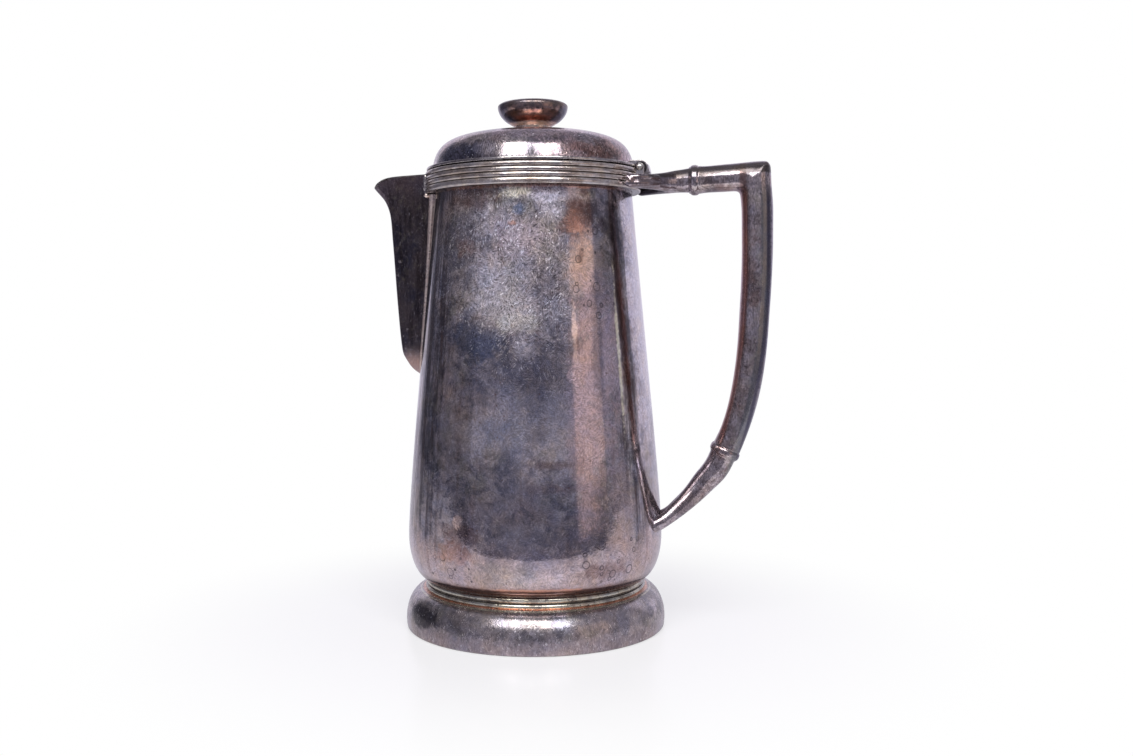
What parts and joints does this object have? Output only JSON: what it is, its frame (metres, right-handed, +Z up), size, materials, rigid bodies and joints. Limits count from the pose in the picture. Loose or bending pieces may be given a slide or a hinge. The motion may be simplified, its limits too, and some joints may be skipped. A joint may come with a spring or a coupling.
{
  "type": "water pitcher",
  "caption": "Tapered round covered water pitcher in tarnished silver plate, with a tall V spout, bamboo-form forked handle and hinged domed lid.",
  "frame": {"origin": "middle of the object's length and width, on the surface that it stands on", "axes": "+Z up, +X towards the handle, -X towards the spout, Y across"},
  "size_m": [0.188, 0.1204, 0.2436],
  "materials": {
    "plate": "tarnished silver plate, scratched and pitted, copper showing in places",
    "dark_plate": "heavily tarnished silver plate, near black with a purple cast",
    "moulding": "drawn reeded moulding, bright on the crests and dark in the grooves",
    "casting": "cast nickel silver, worn plate, pitted brown-grey",
    "worn_copper": "copper showing through worn plate",
    "dark_copper": "dark tarnished copper with orange glints",
    "steel": "dull nickel silver pin and fasteners"
  },
  "bodies": {
    "pitcher": {"body_shell": "plate", "spout_strainer": "plate", "rim_band": "moulding", "spout": "dark_plate", "waist_bead": "worn_copper", "foot": "plate", "handle_upper_fork": "casting", "handle_upper_node": "casting", "handle_arm": "casting", "handle_grip": "casting", "handle_lower_node": "casting", "handle_lower_fork": "casting", "hinge_bracket": "moulding", "hinge_pin": "steel"},
    "lid": {"lid_dome": "plate", "lid_flange": "moulding", "lid_bezel": "moulding", "hinge_leaf": "moulding", "knob_collar": "worn_copper", "knob": "dark_copper", "knob_stud": "steel", "knob_washer": "worn_copper", "knob_nut": "steel"}
  },
  "joints": [
    {"name": "lid_hinge", "type": "hinge", "parent": "pitcher", "child": "lid", "pos_m": [0.03562, 0, 0.2109], "axis": [0, 1, 0], "range_deg": [0, 110]}
  ]
}
